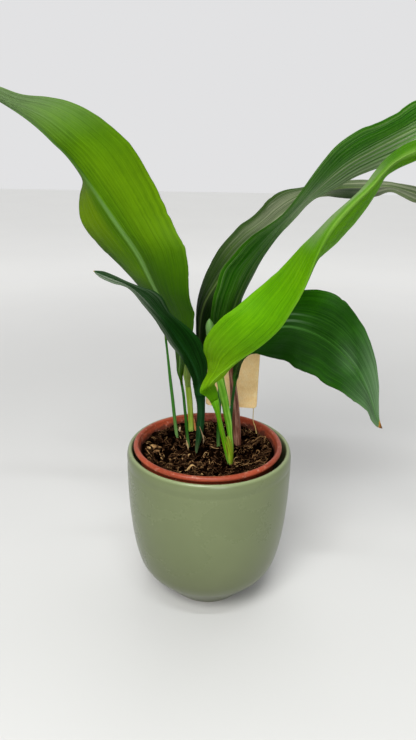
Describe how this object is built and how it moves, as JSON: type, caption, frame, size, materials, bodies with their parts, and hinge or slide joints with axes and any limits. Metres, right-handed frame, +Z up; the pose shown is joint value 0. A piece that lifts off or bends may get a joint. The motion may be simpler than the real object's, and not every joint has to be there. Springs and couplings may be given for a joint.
{
  "type": "potted cast iron plant",
  "caption": "Cast iron plant with arching strap-shaped leaves on thin stalks, growing in a plastic nursery pot that stands in a rounded ceramic cover pot, with a card tag.",
  "frame": {"origin": "centre of the cover pot's flat foot, on the surface that it stands on", "axes": "+Z up along the cover pot's axis; -Y is the side that the picture was taken from; +X is to the right in it"},
  "size_m": [0.3431, 0.2559, 0.3978],
  "materials": {
    "sage_glaze": "satin sage-green glaze, faintly mottled",
    "terracotta_plastic": "moulded satin plastic, terracotta brown",
    "potting_soil": null,
    "bright_leaf": null,
    "dark_leaf": null,
    "leaf_stalk": null,
    "young_leaf": null,
    "dry_leaf": null,
    "kraft_card": "matt kraft card"
  },
  "bodies": {
    "root": {"cover_pot": "sage_glaze", "nursery_pot": "terracotta_plastic", "soil": "potting_soil", "left_leaf_blade": "bright_leaf", "left_leaf_stalk": "leaf_stalk", "front_left_leaf_blade": "dark_leaf", "front_left_leaf_stalk": "leaf_stalk", "rear_right_leaf_blade": "dark_leaf", "rear_right_leaf_stalk": "leaf_stalk", "tall_right_leaf_blade": "dark_leaf", "tall_right_leaf_stalk": "leaf_stalk", "front_leaf_blade": "bright_leaf", "front_leaf_stalk": "leaf_stalk", "drooping_leaf_blade": "dark_leaf", "drooping_leaf_stalk": "leaf_stalk", "rear_left_leaf_blade": "dark_leaf", "rear_left_leaf_stalk": "leaf_stalk", "back_leaf_blade": "dark_leaf", "back_leaf_stalk": "leaf_stalk", "young_shoot": "young_leaf", "dry_sheath": "dry_leaf", "plant_tag": "kraft_card", "tag_stalk": "dry_leaf", "dry_scale_left": "dry_leaf", "dry_scale_front": "dry_leaf", "dry_scale_back": "dry_leaf", "cut_stub": "dry_leaf"}
  },
  "joints": []
}
